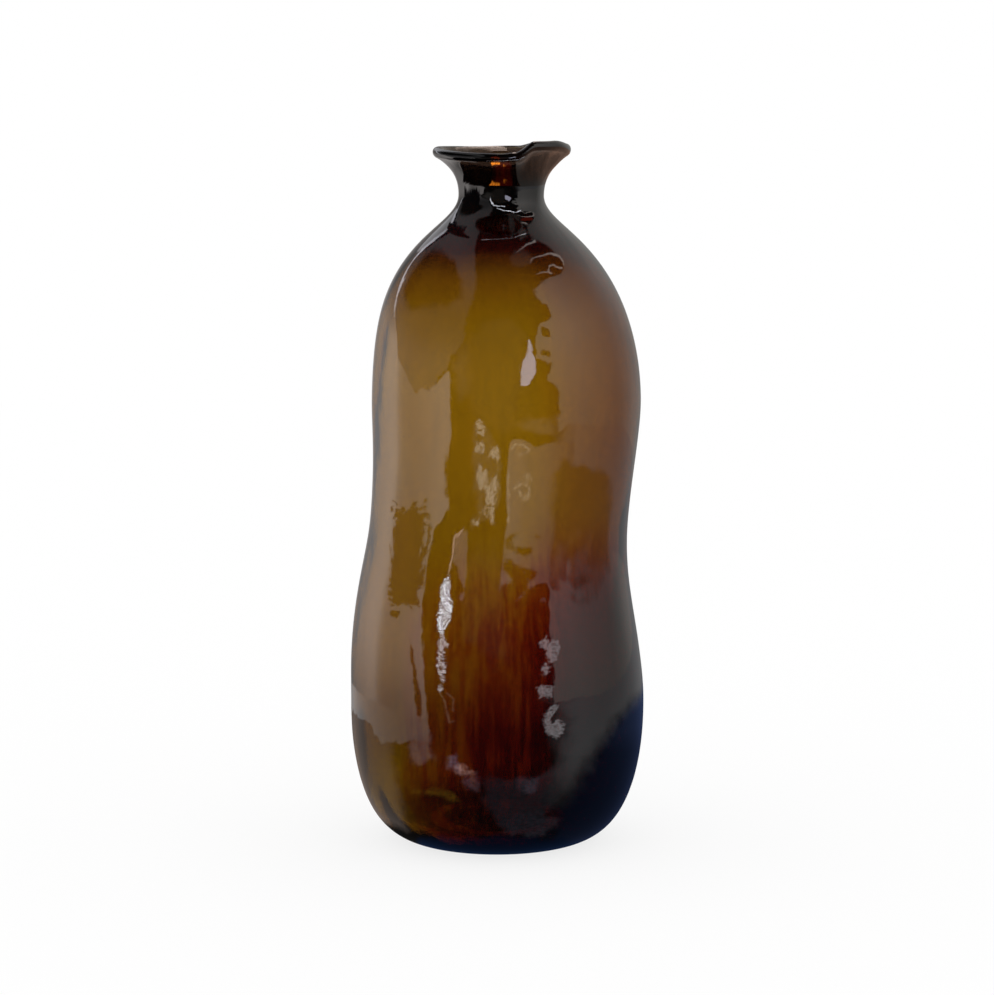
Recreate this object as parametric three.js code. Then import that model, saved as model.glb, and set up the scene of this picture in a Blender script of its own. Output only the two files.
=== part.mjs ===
// A tall mouth-blown vase in amber recycled glass, modelled in millimetres with +Z up.
// The origin is the middle of the foot, on the surface that the vase stands on.
//
// The glass is one closed wall, turned about a vertical axis and then pushed off true as soft
// glass is: the axis wanders to one side at the waist and to the other at the chest, and the lip
// was pulled up along one side. The wall is built in the zones that a glassmaker works in, which
// are base, waisted body, shoulder and mouth, and neighbours share the ring where they meet.
// The pontil mark is a separate scab of glass under the base, left by the iron that held the
// vase while its mouth was opened.
import * as THREE from "three";

// The foot is a flat ring round a shallow hollow, the punt
const FOOT_OUTER_RADIUS = 51;
const FOOT_INNER_RADIUS = 38;
const FOOT_GLASS = 12;
const PUNT_RISE = 6;
const BASE_THICKNESS = 15;

// The pontil mark in the middle of the punt, ground flat and clear of the table
const PONTIL_RADIUS = 18;
const PONTIL_DEPTH = 2.4;

// The outline stands upright at these four stations: radius, height and wall thickness
const BELLY_RADIUS = 106.4;
const BELLY_HEIGHT = 103.6;
const BELLY_WALL = 5;
const WAIST_RADIUS = 93.4;
const WAIST_HEIGHT = 239;
const WAIST_WALL = 4.2;
const CHEST_RADIUS = 96.8;
const CHEST_HEIGHT = 321.4;
const CHEST_WALL = 4;
const THROAT_RADIUS = 30.6;
const THROAT_HEIGHT = 470;
const THROAT_WALL = 5.5;

// The flared mouth ends in a thick, fire-polished lip
const LIP_RADIUS = 47.4;
const LIP_HEIGHT = 496.6;
const LIP_THICKNESS = 6.4;
const LIP_FLARE = THREE.MathUtils.degToRad(23);

// How far the outline runs straight out of each station before it bends
const HEEL_REACH = 35.5;
const BELLY_REACH_DOWN = 69.5;
const BELLY_REACH_UP = 59.5;
const WAIST_REACH_DOWN = 46;
const WAIST_REACH_UP = 37;
const CHEST_REACH_DOWN = 17;
const CHEST_REACH_UP = 118;
const THROAT_REACH_DOWN = 26.5;
const THROAT_REACH_UP = 17;
const LIP_REACH = 6;

// Where the middle of the blown wall lies: height and offset along X
const LEAN = [
  [0, 0],
  [BELLY_HEIGHT, 0.2],
  [(BELLY_HEIGHT + WAIST_HEIGHT) / 2, -2.2],
  [CHEST_HEIGHT, 6.8],
  [THROAT_HEIGHT - THROAT_REACH_DOWN, 2.6],
  [LIP_HEIGHT, 3.4],
];

// How far the lip was pulled up: turn round the axis in degrees, and lift.
// A turn of 0 faces +X and one of -90 faces the viewer.
const LIP_LIFT = [
  [-180, 1.4],
  [-90, 0],
  [-78, 0.8],
  [-60, 8.2],
  [-38, 7.8],
  [0, 3.6],
  [55, 2.8],
  [76, -0.6],
  [105, -1],
  [180, 1.4],
];

// The height from which the glass was pulled, lowest under the raised ear of the lip
const LIFT_ROOT = [
  [-180, 490],
  [-90, 490],
  [-62, 472],
  [-35, 476],
  [-5, 490],
];

// Fineness of the faceted solids
const SIDES = 48;
const HEEL_STEPS = 10;
const BELLY_STEPS = 7;
const WAIST_STEPS = 5;
const SHOULDER_STEPS = 12;
const MOUTH_STEPS = 6;
const LIP_STEPS = 5;
const PUNT_STEPS = 3;
const FLOOR_STEPS = 4;

const wallGlass = new THREE.MeshStandardMaterial({ color: 0x6b4308, roughness: 0.05, metalness: 0 });
const thickGlass = new THREE.MeshStandardMaterial({ color: 0x2a0d04, roughness: 0.05, metalness: 0 });
const groundGlass = new THREE.MeshStandardMaterial({ color: 0x3a2412, roughness: 0.5, metalness: 0 });

const point = (radius, height) => new THREE.Vector2(radius, height);

// A stretch of the outline: its outer curve, that curve's direction, and the wall at either end.
function stretch(start, startHandle, endHandle, end, startWall, endWall) {
  const curve = new THREE.CubicBezierCurve(start, startHandle, endHandle, end);
  const direction = new THREE.QuadraticBezierCurve(
    startHandle.clone().sub(start),
    endHandle.clone().sub(startHandle),
    end.clone().sub(endHandle),
  );
  return { curve, direction, startWall, endWall };
}

const foot = point(FOOT_OUTER_RADIUS, 0);
const belly = point(BELLY_RADIUS, BELLY_HEIGHT);
const waist = point(WAIST_RADIUS, WAIST_HEIGHT);
const chest = point(CHEST_RADIUS, CHEST_HEIGHT);
const throat = point(THROAT_RADIUS, THROAT_HEIGHT);
const lip = point(LIP_RADIUS, LIP_HEIGHT);
const upright = (station, reach) => point(station.x, station.y + reach);
const lipHandle = point(lip.x - LIP_REACH * Math.cos(LIP_FLARE), lip.y - LIP_REACH * Math.sin(LIP_FLARE));

const heel = stretch(
  foot,
  point(FOOT_OUTER_RADIUS + HEEL_REACH, 0),
  upright(belly, -BELLY_REACH_DOWN),
  belly,
  FOOT_GLASS,
  BELLY_WALL,
);
const lowerBody = stretch(
  belly,
  upright(belly, BELLY_REACH_UP),
  upright(waist, -WAIST_REACH_DOWN),
  waist,
  BELLY_WALL,
  WAIST_WALL,
);
const upperBody = stretch(
  waist,
  upright(waist, WAIST_REACH_UP),
  upright(chest, -CHEST_REACH_DOWN),
  chest,
  WAIST_WALL,
  CHEST_WALL,
);
const shoulder = stretch(
  chest,
  upright(chest, CHEST_REACH_UP),
  upright(throat, -THROAT_REACH_DOWN),
  throat,
  CHEST_WALL,
  THROAT_WALL,
);
const mouth = stretch(throat, upright(throat, THROAT_REACH_UP), lipHandle, lip, THROAT_WALL, LIP_THICKNESS);

// Points on the inner face, each the wall's thickness in from the outer one and square to it.
function innerFace({ curve, direction, startWall, endWall }, steps) {
  return Array.from({ length: steps + 1 }, (_, i) => {
    const t = i / steps;
    const along = direction.getPoint(t).normalize();
    const inward = point(-along.y, along.x);
    return curve.getPoint(t).addScaledVector(inward, THREE.MathUtils.lerp(startWall, endWall, t));
  });
}

// The closed section of a wall made of one or more stretches, each with its number of steps.
function wallSection(...stretches) {
  const outer = stretches.flatMap(([s, steps], i) => s.curve.getPoints(steps).slice(i ? 1 : 0));
  const inner = stretches.flatMap(([s, steps], i) => innerFace(s, steps).slice(i ? 1 : 0));
  return [...outer, ...inner.reverse(), outer[0]];
}

// The underside of the punt between two radii.
function puntFace(fromRadius, toRadius) {
  return Array.from({ length: PUNT_STEPS + 1 }, (_, i) => {
    const radius = THREE.MathUtils.lerp(fromRadius, toRadius, i / PUNT_STEPS);
    return point(radius, PUNT_RISE * (1 - (radius / FOOT_INNER_RADIUS) ** 2));
  });
}

// The base: punt, foot ring and heel outside, and a floor inside that swells over the punt.
function baseSection() {
  const floorTop = PUNT_RISE + BASE_THICKNESS;
  const floor = new THREE.CubicBezierCurve(
    point(FOOT_OUTER_RADIUS, FOOT_GLASS),
    point(FOOT_OUTER_RADIUS / 2, FOOT_GLASS),
    point(FOOT_OUTER_RADIUS / 2, floorTop),
    point(0, floorTop),
  );
  return [
    ...puntFace(0, PONTIL_RADIUS),
    ...puntFace(PONTIL_RADIUS, FOOT_INNER_RADIUS).slice(1),
    ...heel.curve.getPoints(HEEL_STEPS),
    ...innerFace(heel, HEEL_STEPS).reverse(),
    ...floor.getPoints(FLOOR_STEPS).slice(1),
  ];
}

function pontilSection() {
  const face = PUNT_RISE - PONTIL_DEPTH;
  return [point(0, face), point(PONTIL_RADIUS, face), ...puntFace(0, PONTIL_RADIUS).reverse()];
}

// The mouth's section turns over the lip in a half round.
function mouthSection() {
  const outer = mouth.curve.getPoints(MOUTH_STEPS);
  const inner = innerFace(mouth, MOUTH_STEPS);
  const middle = outer.at(-1).clone().lerp(inner.at(-1), 0.5);
  const roll = Array.from({ length: LIP_STEPS - 1 }, (_, i) =>
    outer.at(-1).clone().rotateAround(middle, (Math.PI * (i + 1)) / LIP_STEPS),
  );
  return [...outer, ...roll, ...inner.reverse(), outer[0]];
}

// Eases from level to level as a value passes the places in a table.
function eased(table, value) {
  return table.slice(1).reduce((level, [place, next], i) => {
    const share = THREE.MathUtils.smoothstep(value, table[i][0], place);
    return THREE.MathUtils.lerp(level, next, share);
  }, table[0][1]);
}

// Moves a turned point to where the soft glass went. The lift grows from its root to the lip's top.
function settle(p) {
  const turn = THREE.MathUtils.radToDeg(Math.atan2(p.y, p.x));
  const share = THREE.MathUtils.smoothstep(p.z, eased(LIFT_ROOT, turn), LIP_HEIGHT + LIP_THICKNESS);
  p.x += eased(LEAN, p.z);
  p.z += eased(LIP_LIFT, turn) * share;
}

function blown(name, section, material) {
  const geometry = new THREE.LatheGeometry(section, SIDES).rotateX(Math.PI / 2);
  const position = geometry.getAttribute("position");
  const p = new THREE.Vector3();
  for (let i = 0; i < position.count; i++) {
    settle(p.fromBufferAttribute(position, i));
    position.setXYZ(i, p.x, p.y, p.z);
  }
  geometry.computeVertexNormals();
  const mesh = new THREE.Mesh(geometry, material);
  mesh.name = name;
  return mesh;
}

const vase = new THREE.Group();
vase.add(
  blown("pontil_mark", pontilSection(), groundGlass),
  blown("thick_base", baseSection(), thickGlass),
  blown("waisted_body", wallSection([lowerBody, BELLY_STEPS], [upperBody, WAIST_STEPS]), wallGlass),
  blown("shoulder", wallSection([shoulder, SHOULDER_STEPS]), wallGlass),
  blown("flared_mouth", mouthSection(), thickGlass),
);

export default vase;
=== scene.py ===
# %% [markdown]
# # A mouth-blown vase in amber recycled glass
# The vase is one closed wall of glass: a heavy foot, a belly, a waist that was pressed in while
# the glass was soft, a long shoulder and a small flared mouth. The imported CAD model gives its
# place and size, and this lesson gives it a wall with real ripples, a colour that deepens where
# the glass is thick, painted shade that darkens it low down and on the right, and a dim studio
# with windows for it to mirror.

# %% Load the imported model as a fixed frame
import math

import bmesh
import bpy
import numpy as np
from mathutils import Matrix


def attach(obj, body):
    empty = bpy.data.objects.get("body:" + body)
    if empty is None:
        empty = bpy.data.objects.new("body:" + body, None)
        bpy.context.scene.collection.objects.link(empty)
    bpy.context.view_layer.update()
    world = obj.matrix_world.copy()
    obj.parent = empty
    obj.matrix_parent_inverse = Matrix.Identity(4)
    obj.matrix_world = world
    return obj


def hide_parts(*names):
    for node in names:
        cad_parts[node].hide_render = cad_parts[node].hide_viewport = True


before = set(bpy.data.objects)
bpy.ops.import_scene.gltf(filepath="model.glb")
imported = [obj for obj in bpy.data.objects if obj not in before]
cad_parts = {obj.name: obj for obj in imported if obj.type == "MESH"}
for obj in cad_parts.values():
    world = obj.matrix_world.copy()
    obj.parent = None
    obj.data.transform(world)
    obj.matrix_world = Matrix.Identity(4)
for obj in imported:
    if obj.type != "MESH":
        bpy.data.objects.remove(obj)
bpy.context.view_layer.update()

print("nodes:", sorted(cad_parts))

# %% [markdown]
# ## The camera
# The vase was seen from a little above and from far away, so its sides hardly converge. A long
# lens three metres off gives that view. The lens is fitted across the picture's width, so the
# frame stays the same whatever the render's size.

# %% Camera
CAMERA_PLACE = (0.0, -3.0, 0.709)
CAMERA_AIM = (0.0, 0.0, 0.251)
LENS = 152.0
SENSOR = 36.0


def made_object(name, data):
    """A new object in the scene that holds this data."""
    thing = bpy.data.objects.new(name, data)
    bpy.context.scene.collection.objects.link(thing)
    return thing


def look_from(name, place, aim):
    """A camera at place that looks at aim with its top upwards."""
    camera = made_object(name, bpy.data.cameras.new(name))
    across = math.hypot(aim[0] - place[0], aim[1] - place[1])
    tilt = math.atan2(across, place[2] - aim[2])
    swing = math.atan2(place[0] - aim[0], aim[1] - place[1])
    camera.location = place
    camera.rotation_euler = (tilt, 0.0, swing)
    return camera


camera = look_from("camera", CAMERA_PLACE, CAMERA_AIM)
camera.data.lens = LENS
camera.data.sensor_width = SENSOR
camera.data.sensor_fit = "HORIZONTAL"
camera.data.clip_end = 50.0
bpy.context.scene.camera = camera
bpy.context.scene.view_settings.view_transform = "Standard"
print("camera:", CAMERA_PLACE, "lens", LENS, "mm")

# %% [markdown]
# ## Writing shader maths as Python
# A material is a tree of nodes. Adding every node by hand hides what the tree works out, so one
# small class wraps a socket: adding or multiplying two wrapped sockets adds the nodes for it.
# Plain values use Math nodes and colours or vectors use Vector Math, because a Math node would
# turn a colour grey. Any other node comes from the method named `node`, which takes the node's
# type, then its settings, then what goes into its sockets.

# %% The socket wrapper
class Wire:
    """One socket of a node tree. Sums written with it add the nodes that work them out."""

    def __init__(self, tree, socket=None):
        self.tree = tree
        self.socket = socket

    def node(self, kind, settings=None, sockets=None, output=0):
        """Adds a node, applies its settings, fills its sockets and returns one output."""
        made = self.tree.nodes.new(kind)
        for name, value in (settings or {}).items():
            if name == "stops":
                self.fill_ramp(made.color_ramp, value)
            else:
                setattr(made, name, value)
        for name, value in (sockets or {}).items():
            if isinstance(value, Wire):
                self.tree.links.new(value.socket, made.inputs[name])
            else:
                made.inputs[name].default_value = value
        return Wire(self.tree, made.outputs[output])

    @staticmethod
    def fill_ramp(ramp, stops):
        """Gives a colour ramp its stops, each a place from 0 to 1 and a colour."""
        while len(ramp.elements) < len(stops):
            ramp.elements.new(1.0)
        for element, (place, colour) in zip(ramp.elements, stops):
            element.position = place
            element.color = (*colour, 1.0)

    @staticmethod
    def is_value(part):
        if isinstance(part, Wire):
            return part.socket.type == "VALUE"
        return isinstance(part, (int, float))

    def joined(self, operation, first, second):
        """Math for two values, and Vector Math as soon as one part is a colour or a vector."""
        if self.is_value(first) and self.is_value(second):
            return self.node("ShaderNodeMath", {"operation": operation}, {0: first, 1: second})
        first, second = (
            (part,) * 3 if isinstance(part, (int, float)) else part for part in (first, second)
        )
        return self.node("ShaderNodeVectorMath", {"operation": operation}, {0: first, 1: second})

    def __add__(self, other):
        return self.joined("ADD", self, other)

    def __radd__(self, other):
        return self.joined("ADD", other, self)

    def __sub__(self, other):
        return self.joined("SUBTRACT", self, other)

    def __rsub__(self, other):
        return self.joined("SUBTRACT", other, self)

    def __mul__(self, other):
        return self.joined("MULTIPLY", self, other)

    def __rmul__(self, other):
        return self.joined("MULTIPLY", other, self)

    def __rpow__(self, other):
        return self.joined("POWER", other, self)

    def between(self, low, high):
        """0 below low, 1 above high, and an eased step from one to the other."""
        return self.node(
            "ShaderNodeMapRange",
            {"interpolation_type": "SMOOTHSTEP"},
            {"Value": self, "From Min": low, "From Max": high},
        )

    def mixed(self, first, second):
        """The first colour where this value is 0, and the second where it is 1."""
        first, second = (v if isinstance(v, Wire) else (*v, 1.0) for v in (first, second))
        return self.node("ShaderNodeMix", {"data_type": "RGBA"}, {0: self, 6: first, 7: second}, 2)

    def noise(self, scale, detail=2.0, roughness=0.5):
        """Cloudy noise at a vector. Scale is in bumps per metre."""
        return self.node(
            "ShaderNodeTexNoise",
            {},
            {"Vector": self, "Scale": scale, "Detail": detail, "Roughness": roughness},
        )


def new_material(name):
    """An empty material and a wrapped tree for it."""
    material = bpy.data.materials.new(name)
    material.use_nodes = True
    material.node_tree.nodes.clear()
    return material, Wire(material.node_tree)


def finish_surface(wire, shader, volume=None):
    """Links a shader, and a volume if there is one, to the material's output."""
    output = wire.tree.nodes.new("ShaderNodeOutputMaterial")
    wire.tree.links.new(shader.socket, output.inputs["Surface"])
    if volume:
        wire.tree.links.new(volume.socket, output.inputs["Volume"])


# %% [markdown]
# ## The light
# White paper lies under the vase and hangs behind it. The world is that paper: plain white at
# a strength of 1, which also lights everything evenly and softly from all sides.

# %% World
WHITE = (1.0, 1.0, 1.0, 1.0)
world = bpy.data.worlds.new("white_paper")
world.use_nodes = True
world.node_tree.nodes.clear()
bpy.context.scene.world = world
sky = Wire(world.node_tree)
background = sky.node("ShaderNodeBackground", {}, {"Color": WHITE, "Strength": 1.0})
world_output = world.node_tree.nodes.new("ShaderNodeOutputWorld")
world.node_tree.links.new(background.socket, world_output.inputs["Surface"])
print("world:", len(world.node_tree.nodes), "nodes")

# %% [markdown]
# ## The floor
# A plain white disc carries the vase and keeps its soft shadow. It glows a little as well, as
# paper on a lit table does, so that the shadow stays light.

# %% Floor
FLOOR_RADIUS = 2.5
FLOOR_GLOW = 0.8


def disc(name, radius, height=0.0, sides=96):
    """A flat round sheet."""
    mesh = bpy.data.meshes.new(name)
    sheet = bmesh.new()
    bmesh.ops.create_circle(sheet, cap_ends=True, segments=sides, radius=radius)
    bmesh.ops.translate(sheet, vec=(0.0, 0.0, height), verts=sheet.verts)
    sheet.to_mesh(mesh)
    sheet.free()
    return made_object(name, mesh)


floor = disc("floor", FLOOR_RADIUS)
floor_material, wire = new_material("pale_floor")
matt = wire.node("ShaderNodeBsdfDiffuse", {}, {"Color": WHITE})
lit_through = wire.node("ShaderNodeEmission", {}, {"Color": WHITE, "Strength": 1.0})
paper = wire.node("ShaderNodeMixShader", {}, {0: FLOOR_GLOW, 1: matt, 2: lit_through})
finish_surface(wire, paper)
floor.data.materials.append(floor_material)
print("floor:", FLOOR_RADIUS, "m radius")

# %% [markdown]
# ## A room for the glass to mirror
# What makes glass look like glass is what bends over it. White paper alone would lay one even
# grey veil over the vase. A glass photographer shuts the paper out with a dark tent, and then
# puts lights and flags where the glass should show them. The tent here is a dim dome and a dark
# table top that only mirrored rays meet, so light that passes through the glass still comes
# from the white paper.

# %% Dark tent
TENT_GLOW = 0.01
TENT_RADIUS = 6.0
TABLE_CLEARANCE = 0.0005


def for_mirrors(thing):
    """Hides a staged sheet from all rays but mirrored ones."""
    for kind in ("camera", "diffuse", "transmission", "volume_scatter", "shadow"):
        setattr(thing, "visible_" + kind, False)
    return thing


tent_material, wire = new_material("dark_cloth")
finish_surface(wire, wire.node("ShaderNodeEmission", {}, {"Color": WHITE, "Strength": TENT_GLOW}))
tent_material.cycles.emission_sampling = "NONE"
dome_mesh = bpy.data.meshes.new("dark_dome")
dome = bmesh.new()
bmesh.ops.create_icosphere(dome, subdivisions=3, radius=TENT_RADIUS)
dome.to_mesh(dome_mesh)
dome.free()
dark_dome = made_object("dark_dome", dome_mesh)
dark_table = disc("dark_table", FLOOR_RADIUS, TABLE_CLEARANCE)
for tent in (dark_dome, dark_table):
    tent.data.materials.append(tent_material)
    for_mirrors(tent)
print("tent:", TENT_RADIUS, "m radius")

# %% [markdown]
# ### Cards
# Each light or flag is a card: a sheet on an upright drum round the vase, or flat on the table.
# Its outline gives turns round the vase in degrees, 0 towards the camera and positive to the
# right, and heights in millimetres, or distances from the axis for a flat card. A card close to
# the glass is mirrored in one place, and a distant one wherever the glass faces the same way.
#
# A card cut by a hard line looks like plastic. Here every point of the sheet knows how deep
# inside the outline it is, and the material adds noise to that depth before it decides where
# the card ends. The edge can so be crisp, ragged or misty, or break up into flecks. A card
# that covers another is shifted a little from its drum, or lies a little higher on the table.

# %% Card mesh
MM = 0.001
FINE = 1.5
# A drum's radius, and the height on it that looks as long as one degree. A flat card has no
# radius, and its second number spreads the distances from the axis.
NEAR_DRUM = (230.0, 1.0)
LEFT_DRUM = (600.0, 4.0)
RIGHT_DRUM = (1500.0, 10.0)
TABLE = (0.0, 70.0)
FLAT_START = 100.0


def shifted(drum, outward):
    """The same drum, this many millimetres further out, or nearer to the glass if negative."""
    return (drum[0] + outward, drum[1])


# %% Places on a card
def up_the_glass(reach, drum):
    """How far up the glass a place is mirrored, in lengths that look as long as a degree."""
    radius, tall = drum
    return reach / tall if radius else tall * np.log(reach / FLAT_START)


def reach_of(up, drum):
    """The height or distance that is mirrored so far up."""
    radius, tall = drum
    return up * tall if radius else FLAT_START * np.exp(up / tall)


def inside_by(turn, up, outline, width=0.0):
    """How deep inside a closed outline each place lies, or inside a line of this width."""
    place = np.stack([turn, up], -1)[:, None, :]
    start = np.array(outline)
    along = np.roll(start, -1, axis=0) - start
    if width:
        start, along = start[:-1], along[:-1]
    share = np.clip(((place - start) * along).sum(-1) / (along**2).sum(-1), 0, 1)
    away = np.linalg.norm(place - start - share[..., None] * along, axis=-1).min(-1)
    if width:
        return width / 2 - away
    spans = (start[:, 1] > place[..., 1]) != (start[:, 1] + along[:, 1] > place[..., 1])
    slope = along[:, 0] / np.where(along[:, 1] == 0, 1, along[:, 1])
    left_of = place[..., 0] < start[:, 0] + (place[..., 1] - start[:, 1]) * slope
    return np.where((spans & left_of).sum(-1) % 2 == 1, away, -away)


# %% Steps across a card
def steps_between(low, high, size):
    """Even steps of about this size, with both ends."""
    return np.linspace(low, high, max(2, math.ceil((high - low) / size) + 1))


print("steps over 4 degrees:", steps_between(0.0, 4.0, FINE).round(2))


# %% Card material
# Kinds of edge. Soft is how wide it fades, fray how far noise moves it, grain how fine that
# noise is, drawn how much longer it is upwards, and sparkle how much the light itself varies.
CRISP = {"soft": 0.5, "fray": 2.0, "grain": 0.2, "drawn": 1.5, "sparkle": 0.0}
RAGGED = {**CRISP, "soft": 0.6, "fray": 7.0, "grain": 0.16}
MISTY = {**CRISP, "soft": 7.0, "fray": 9.0, "grain": 0.07}
DOTS_ASIDE = (40.0, 0.0, 0.0)


def card_material(name, soft, fray, grain, drawn, sparkle):
    """Light that is seen from the sheet's front alone and ends in one of these edges."""
    material, wire = new_material(name)
    spot = wire.node("ShaderNodeAttribute", {"attribute_name": "spot"}, output="Vector")
    inside = wire.node("ShaderNodeAttribute", {"attribute_name": "inside"}, output="Fac")
    light = wire.node("ShaderNodeAttribute", {"attribute_name": "light"}, output="Color")
    from_below = wire.node("ShaderNodeNewGeometry", output="Backfacing")
    grit = (spot * (1.0, 1.0 / drawn, 1.0)).noise(grain, 4.0, 0.6)
    cover = (inside + (grit - 0.5) * (2.0 * fray)).between(-soft, soft)
    dots = (spot + DOTS_ASIDE).noise(3.0 * grain, 3.0, 0.6)
    shine = light * (1.0 + (dots - 0.5) * (2.0 * sparkle))
    glow = wire.node("ShaderNodeEmission", {}, {"Color": shine, "Strength": 1.0})
    clear = wire.node("ShaderNodeBsdfTransparent")
    seen = cover * (1.0 - from_below)
    finish_surface(wire, wire.node("ShaderNodeMixShader", {}, {0: seen, 1: clear, 2: glow}))
    material.cycles.emission_sampling = "NONE"
    return material


# %% Card maker
DEEPEST = 99.0


def card(name, drum, outline, light, edge=CRISP, full=DEEPEST, lift=0.0, width=0.0, **changes):
    """A sheet of light. Full caps its depth inside, and a width makes it a line."""
    edge = {**edge, **changes}
    corners = [(turn, up_the_glass(reach, drum)) for turn, reach in outline]
    margin = edge["soft"] + edge["fray"] + width / 2
    fine = min(FINE, width / 3) if width else FINE
    (left, low), (right, high) = np.min(corners, 0) - margin, np.max(corners, 0) + margin
    turns = steps_between(max(left, -180.0), min(right, 180.0), fine)
    ups = steps_between(low, high, fine if width else 2 * fine)
    turn, up = (grid.ravel() for grid in np.meshgrid(turns, ups, indexing="ij"))
    inside = np.minimum(inside_by(turn, up, corners, width), full)
    reach = reach_of(up, drum)
    away, height = (np.full_like(reach, drum[0]), reach) if drum[0] else (reach, lift + 0 * reach)
    angle = np.radians(turn)
    points = MM * np.stack([away * np.sin(angle), -away * np.cos(angle), height], -1)
    cell = (np.arange(len(turns) - 1)[:, None] * len(ups) + np.arange(len(ups) - 1)).ravel()
    quads = np.stack([cell, cell + 1, cell + len(ups) + 1, cell + len(ups)], -1)
    quads = quads[inside[quads].max(-1) > -margin]
    mesh = bpy.data.meshes.new(name)
    mesh.from_pydata(points.tolist(), [], quads.tolist())
    colour = light(turn, reach) if callable(light) else np.tile(light, (len(turn), 1))
    colour = np.concatenate([colour, np.ones((len(turn), 1))], -1)
    spot = np.stack([turn, up, 0 * up], -1)
    for kind, label, field, values in (
        ("FLOAT", "inside", "value", inside),
        ("FLOAT_VECTOR", "spot", "vector", spot),
        ("FLOAT_COLOR", "light", "color", colour),
    ):
        mesh.attributes.new(label, kind, "POINT").data.foreach_set(field, values.ravel())
    mesh.materials.append(card_material(name + "_light", **edge))
    return for_mirrors(made_object(name, mesh))


# %% Light that changes across a card
def lit(tint, across=((0, 1.0),), upward=((0, 1.0),)):
    """Light of one tint whose level changes by straight lines, across and upward."""

    def light(turn, reach):
        strength = np.interp(turn, *zip(*across)) * np.interp(reach, *zip(*upward))
        return strength[:, None] * tint

    return light


print("level halfway:", lit((1.0,), [(0, 0.2), (10, 0.6)])(np.array([5.0]), np.array([0.0])))

# %% [markdown]
# ### The left window
# A bright window stands on the left, and its light spills a little way over the table. The
# window's dim head, its glaring rim and a cord are thin cards just before it, since one card
# has one kind of edge. Behind it hangs something dim with a dark patch of painted shade on it,
# and a veil on the table dims the spill towards the foot.

# %% Left window
WARM_WHITE = (1.0, 0.94, 0.92)
card(
    "left_window", LEFT_DRUM,
    [
        (-200, -200), (-52, -200), (-53, 71), (-53, 160), (-50, 178), (-44, 188), (-44, 207),
        (-45, 298), (-46, 395), (-51, 365), (-56, 335), (-63, 313), (-70, 313), (-74, 295),
        (-80, 306), (-93, 349), (-101, 367), (-106, 429), (-119, 482), (-125, 519), (-131, 575),
        (-139, 622), (-137, 729), (-137, 822), (-136, 881), (-134, 960), (-140, 1100),
        (-165, 1500), (-200, 1600),
    ],
    lit(
        WARM_WHITE,
        [
            (-180, 0.26), (-165, 0.34), (-150, 0.24), (-137, 0.36), (-123, 0.54), (-110, 0.82),
            (-103, 0.9), (-98, 0.64), (-93, 0.52), (-80, 0.54), (-68, 0.66), (-55, 0.82),
            (-45, 0.88),
        ],
        [
            (0, 0.6), (40, 0.7), (100, 0.88), (180, 1.0), (400, 1.0), (475, 0.6), (540, 0.5),
            (700, 0.7),
        ],
    ),
)
card(
    "left_window_head", shifted(LEFT_DRUM, -1.0),
    [
        (-200, 580), (-150, 580), (-144, 650), (-141, 720), (-138, 760), (-137, 880), (-134, 960),
        (-140, 1100), (-200, 1100),
    ],
    lit((0.5, 0.5, 0.52), [(-180, 0.4), (-158, 1.0)]),
)
card(
    "left_window_rim", shifted(LEFT_DRUM, -2.0),
    [
        (-118, 467), (-125, 510), (-131, 573), (-138, 622), (-136, 730), (-136, 833), (-135, 909),
        (-138, 880), (-141, 800), (-144, 688), (-145, 640), (-140, 575), (-131, 520), (-121, 470),
    ],
    (1.1, 1.1, 1.2),
)
card(
    "left_cord", shifted(LEFT_DRUM, -3.0),
    [(-133, 575), (-139, 622), (-137, 730), (-136, 830), (-134, 950), (-127, 1080), (-118, 1342)],
    (0.01, 0.01, 0.015), width=2.4, fray=1.0, grain=0.3,
)

# %% Hanging and spill
card(
    "left_hanging", shifted(LEFT_DRUM, 4.0),
    [
        (-200, 300), (-58, 300), (-54, 359), (-46, 417), (-44, 457), (-35, 509), (-34, 635),
        (-31, 781), (-30, 923), (-31, 1130), (-37, 1342), (-52, 1800), (-69, 2150), (-90, 2300),
        (-104, 2250), (-120, 2150), (-200, 2000),
    ],
    lit(
        (1.0, 0.97, 1.0),
        upward=[
            (300, 0.28), (400, 0.27), (430, 0.25), (510, 0.16), (640, 0.11), (800, 0.13),
            (1000, 0.16), (1300, 0.2), (1700, 0.19), (2300, 0.18),
        ],
    ),
    RAGGED,
)
# The dark patch on the hanging is painted shade.
card(
    "left_hanging_fold", shifted(LEFT_DRUM, 3.0),
    [
        (-103, 572), (-119, 585), (-125, 663), (-130, 795), (-119, 978), (-84, 1253), (-53, 1100),
        (-44, 865), (-55, 763), (-75, 667), (-92, 590),
    ],
    (0.012, 0.012, 0.012), MISTY,
)
card(
    "left_spill", TABLE,
    [
        (-200, 900), (-48, 900), (-50, 430), (-73, 383), (-91, 345), (-100, 379), (-105, 441),
        (-121, 482), (-200, 500),
    ],
    lit(WARM_WHITE, [(-180, 0.12), (-145, 0.36), (-100, 0.42), (-75, 0.36), (-50, 0.44)]),
    RAGGED, lift=2.0,
)
card(
    "left_rim_veil", TABLE,
    [(-200, 600), (-84, 600), (-80, 300), (-72, 200), (-66, 140), (-60, 90), (-200, 90)],
    lit((0.2, 0.16, 0.14), [(-180, 0.2), (-140, 1.0)]),
    MISTY, lift=1.0,
)

# %% [markdown]
# ### The right wall
# A paler wall stands further off on the right. Its near edge is ragged, and two small dark
# cards on the nearer drum are the holes in it. The table before it is lit up to a slanting blue
# shadow. A darker shadow lies round the foot, with a grey patch of table in front of it.

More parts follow.
